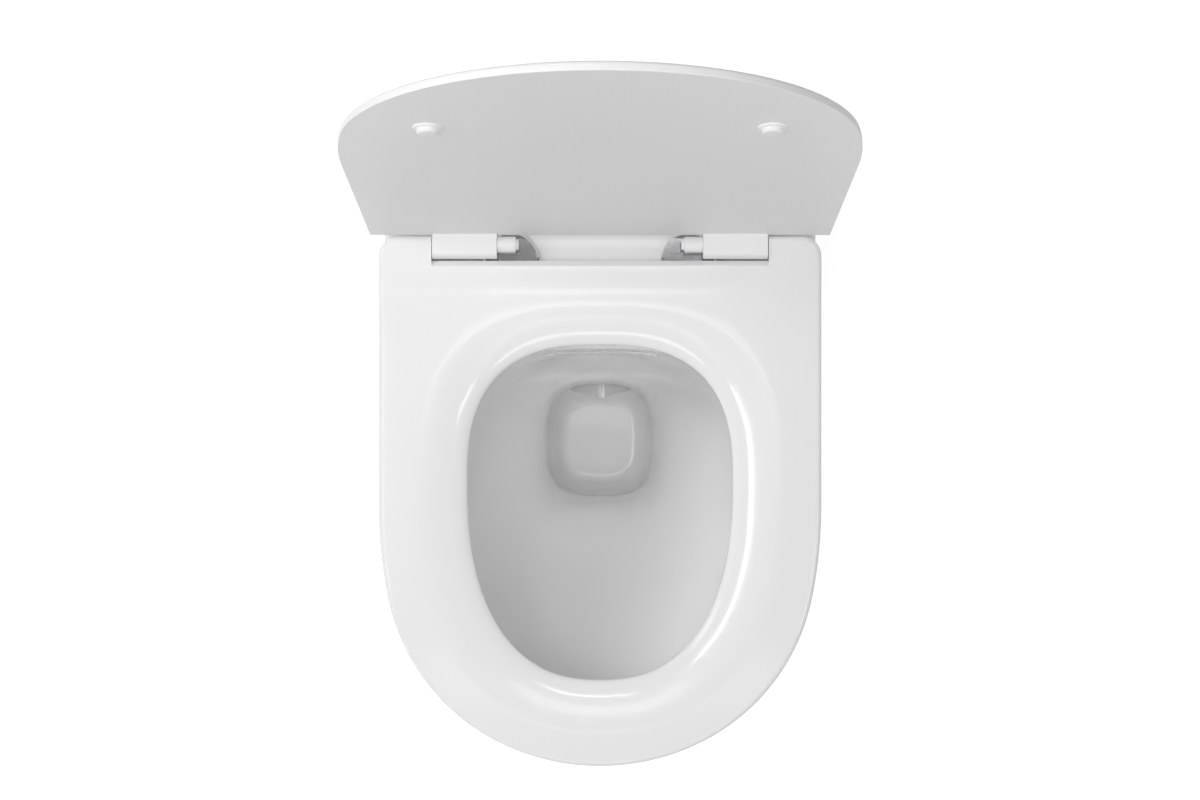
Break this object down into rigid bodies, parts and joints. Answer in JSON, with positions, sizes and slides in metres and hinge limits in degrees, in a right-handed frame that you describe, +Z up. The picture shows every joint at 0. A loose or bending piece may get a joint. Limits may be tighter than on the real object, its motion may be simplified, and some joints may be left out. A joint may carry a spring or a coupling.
{
  "type": "wall hung toilet",
  "caption": "Wall hung toilet pan with a rimless bowl, a hinged seat ring and flat lid on soft-closing, lift-off hinges.",
  "frame": {"origin": "midway between the two wall studs, on the pan's flat back", "axes": "+Y points into the wall, -Y is the front of the pan, +X is to the right of someone facing the wall, +Z is up"},
  "size_m": [0.3738, 0.522, 0.7828],
  "materials": {
    "ceramic": "glossy white glaze",
    "duroplast": "glossy white duroplast",
    "white_plastic": "smooth white plastic",
    "buffer": "soft white elastomer",
    "chrome": "polished chrome",
    "steel": "zinc plated steel",
    "rubber": "black rubber",
    "nylon": "natural nylon",
    "damper": "grey filled plastic"
  },
  "bodies": {
    "pan": {"pan_body": "ceramic", "fixing_sleeves": "nylon", "fixing_washers": "steel", "fixing_nuts": "steel", "access_caps": "white_plastic", "left_base_gasket": "rubber", "left_base_plate": "steel", "left_base_cover": "chrome", "left_fixing_bolt": "steel", "left_expansion_sleeve": "rubber", "left_cone_nut": "nylon", "right_base_gasket": "rubber", "right_base_plate": "steel", "right_base_cover": "chrome", "right_fixing_bolt": "steel", "right_expansion_sleeve": "rubber", "right_cone_nut": "nylon"},
    "hinge_carrier": {"left_hinge_post": "white_plastic", "left_hinge_shaft": "steel", "left_button_spring": "steel", "right_hinge_post": "white_plastic", "right_hinge_shaft": "steel", "right_button_spring": "steel"},
    "lid": {"seat_lid": "duroplast", "lid_buffers": "buffer", "lid_damper": "damper"},
    "ring": {"seat_ring": "duroplast", "ring_buffers": "buffer", "ring_damper": "damper"},
    "left_button": {"left_release_button": "white_plastic"},
    "right_button": {"right_release_button": "white_plastic"}
  },
  "joints": [
    {"name": "seat_lift_off", "type": "slide", "parent": "pan", "child": "hinge_carrier", "axis": [0, 0, 1], "range_m": [0, 0.04]},
    {"name": "lid_hinge", "type": "hinge", "parent": "hinge_carrier", "child": "lid", "pos_m": [0, -0.098, 0.0995], "axis": [-1, 0, 0], "range_deg": [-99.7, 0]},
    {"name": "ring_hinge", "type": "hinge", "parent": "hinge_carrier", "child": "ring", "pos_m": [0, -0.098, 0.0995], "axis": [-1, 0, 0], "range_deg": [0, 97]},
    {"name": "left_button_press", "type": "slide", "parent": "hinge_carrier", "child": "left_button", "axis": [-1, 0, 0], "range_m": [0, 0.0024], "stiffness_N_per_m": 800, "deforming": ["left_button_spring"]},
    {"name": "right_button_press", "type": "slide", "parent": "hinge_carrier", "child": "right_button", "axis": [1, 0, 0], "range_m": [0, 0.0024], "stiffness_N_per_m": 800, "deforming": ["right_button_spring"]}
  ]
}
